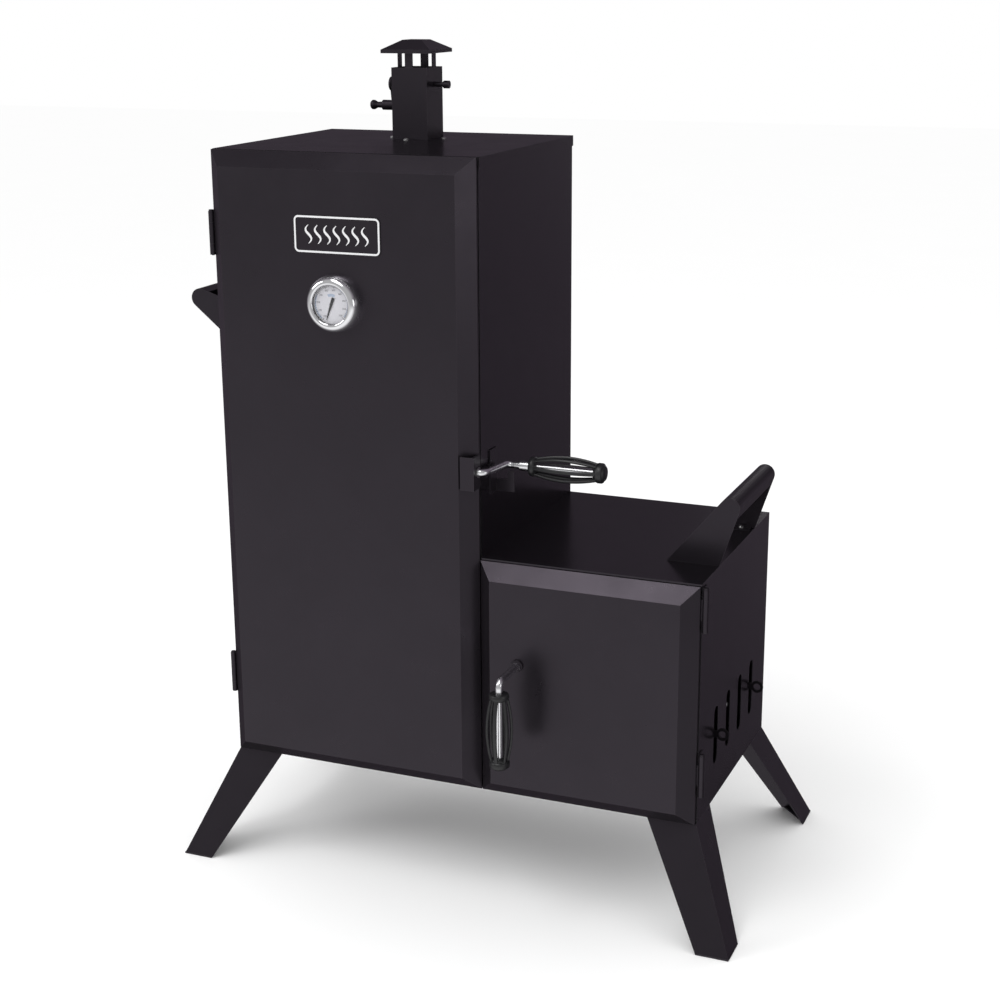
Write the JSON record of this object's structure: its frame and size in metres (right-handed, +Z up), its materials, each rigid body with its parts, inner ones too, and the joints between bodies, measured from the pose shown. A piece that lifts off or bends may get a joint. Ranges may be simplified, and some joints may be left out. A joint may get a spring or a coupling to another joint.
{
  "type": "vertical charcoal smoker",
  "caption": "Upright box smoker with a hinged front door, a side firebox with its own door, chimney, latches, carry handles and splayed legs.",
  "frame": {"origin": "on the floor, under the middle of the object's bounding box", "axes": "+Z up, the doors face -Y, the firebox is on +X"},
  "size_m": [0.872, 0.5283, 1.182],
  "materials": {
    "black_powder_coat": "satin black high-temperature coating, slightly grained",
    "black_enamel": "glossy black enamel",
    "chrome": "bright plated",
    "zinc_steel": "zinc plated, satin",
    "plated_wire": "plated grid bars",
    "cast_grate": "dark, rough, heat-stained",
    "black_plastic": "moulded, satin",
    "dial_white": "matt white enamel with a printed scale",
    "pointer_black": "matt",
    "clear_glass": "clear, polished"
  },
  "bodies": {
    "smoker_body": {"chamber_left_panel": "black_powder_coat", "chamber_right_panel": "black_powder_coat", "chamber_back_panel": "black_powder_coat", "chamber_top_panel": "black_powder_coat", "chamber_floor_panel": "black_powder_coat", "chamber_front_frame": "black_powder_coat", "chamber_hinge_body_leaves": "black_powder_coat", "chamber_hinge_pins": "black_powder_coat", "latch_keeper": "black_powder_coat", "side_carry_handle": "black_powder_coat", "grate_rack_left": "zinc_steel", "grate_rack_right": "zinc_steel", "cooking_grate_1": "plated_wire", "cooking_grate_2": "plated_wire", "cooking_grate_3": "plated_wire", "cooking_grate_4": "plated_wire", "cooking_grate_5": "plated_wire", "cooking_grate_6": "plated_wire", "water_pan": "black_enamel", "firebox_right_panel": "black_powder_coat", "firebox_back_panel": "black_powder_coat", "firebox_top_panel": "black_powder_coat", "firebox_floor_panel": "black_powder_coat", "firebox_front_frame": "black_powder_coat", "firebox_hinge_body_leaves": "black_powder_coat", "firebox_hinge_pins": "black_powder_coat", "firebox_carry_handle": "black_powder_coat", "shutter_guides": "black_powder_coat", "charcoal_grate": "cast_grate", "ash_pan": "black_enamel", "chimney_tube": "black_powder_coat", "chimney_cap": "black_powder_coat", "leg_front_left": "black_powder_coat", "leg_front_right": "black_powder_coat", "leg_rear_left": "black_powder_coat", "leg_rear_right": "black_powder_coat", "leg_bolts": "zinc_steel", "body_screws": "zinc_steel"},
    "chamber_door": {"chamber_door": "black_powder_coat", "badge_plate": "black_powder_coat", "gauge_case": "zinc_steel", "gauge_dial": "dial_white", "gauge_glass": "clear_glass", "gauge_bezel": "chrome", "gauge_nut": "zinc_steel", "chamber_hinge_door_leaves": "black_powder_coat", "chamber_latch_bracket": "black_powder_coat"},
    "gauge_pointer": {"gauge_pointer": "pointer_black"},
    "chamber_latch": {"chamber_latch_rod": "chrome", "chamber_latch_grip": "black_plastic", "chamber_latch_clip": "zinc_steel"},
    "firebox_door": {"firebox_door": "black_powder_coat", "firebox_hinge_door_leaves": "black_powder_coat"},
    "firebox_latch": {"firebox_latch_rod": "chrome", "firebox_latch_grip": "black_plastic", "firebox_latch_tongue": "zinc_steel"},
    "chimney_damper": {"damper_plate": "black_powder_coat", "damper_lever": "black_powder_coat"},
    "air_shutter": {"air_shutter": "black_powder_coat"}
  },
  "joints": [
    {"name": "chamber_door_swing", "type": "hinge", "parent": "smoker_body", "child": "chamber_door", "pos_m": [-0.3454, -0.156, 0.601], "axis": [0, 0, -1], "range_deg": [0, 135]},
    {"name": "firebox_door_swing", "type": "hinge", "parent": "smoker_body", "child": "firebox_door", "pos_m": [0.3734, -0.156, 0.329], "axis": [0, 0, 1], "range_deg": [0, 135]},
    {"name": "chamber_latch_turn", "type": "hinge", "parent": "chamber_door", "child": "chamber_latch", "pos_m": [0.054, -0.167, 0.627], "axis": [1, 0, 0], "range_deg": [-10, 100]},
    {"name": "firebox_latch_turn", "type": "hinge", "parent": "firebox_door", "child": "firebox_latch", "pos_m": [0.117, -0.18, 0.363], "axis": [0, 1, 0], "range_deg": [-90, 0]},
    {"name": "gauge_pointer_turn", "type": "hinge", "parent": "chamber_door", "child": "gauge_pointer", "pos_m": [-0.144, -0.18, 0.847], "axis": [0, 1, 0], "range_deg": [0, 285]},
    {"name": "chimney_damper_turn", "type": "hinge", "parent": "smoker_body", "child": "chimney_damper", "pos_m": [-0.143, 0.09, 1.12], "axis": [1, 0, 0], "range_deg": [0, 80]},
    {"name": "air_shutter_slide", "type": "slide", "parent": "smoker_body", "child": "air_shutter", "axis": [0, 0, 1], "range_m": [-0.035, 0.035]}
  ]
}
